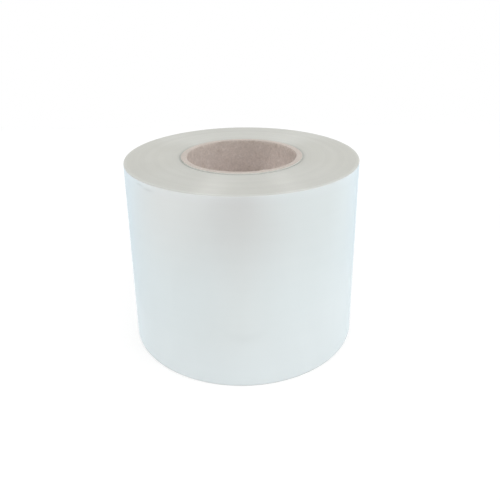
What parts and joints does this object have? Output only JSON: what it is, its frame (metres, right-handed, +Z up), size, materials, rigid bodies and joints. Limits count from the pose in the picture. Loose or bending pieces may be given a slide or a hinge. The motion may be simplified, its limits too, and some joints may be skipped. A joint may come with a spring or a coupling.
{
  "type": "roll of sealing film",
  "caption": "Roll of clear sealing film wound tight on a paperboard core, standing on one end with its bore open from end to end.",
  "frame": {"origin": "centre of the roll's lower end, on the surface that it stands on", "axes": "+Z up the roll's axis, -Y towards the side that the picture shows, +X to that view's right"},
  "size_m": [0.1615, 0.1617, 0.13],
  "materials": {
    "paperboard": "matte",
    "film": "gloss"
  },
  "bodies": {
    "root": {"core": "paperboard", "film_roll": "film"}
  },
  "joints": []
}
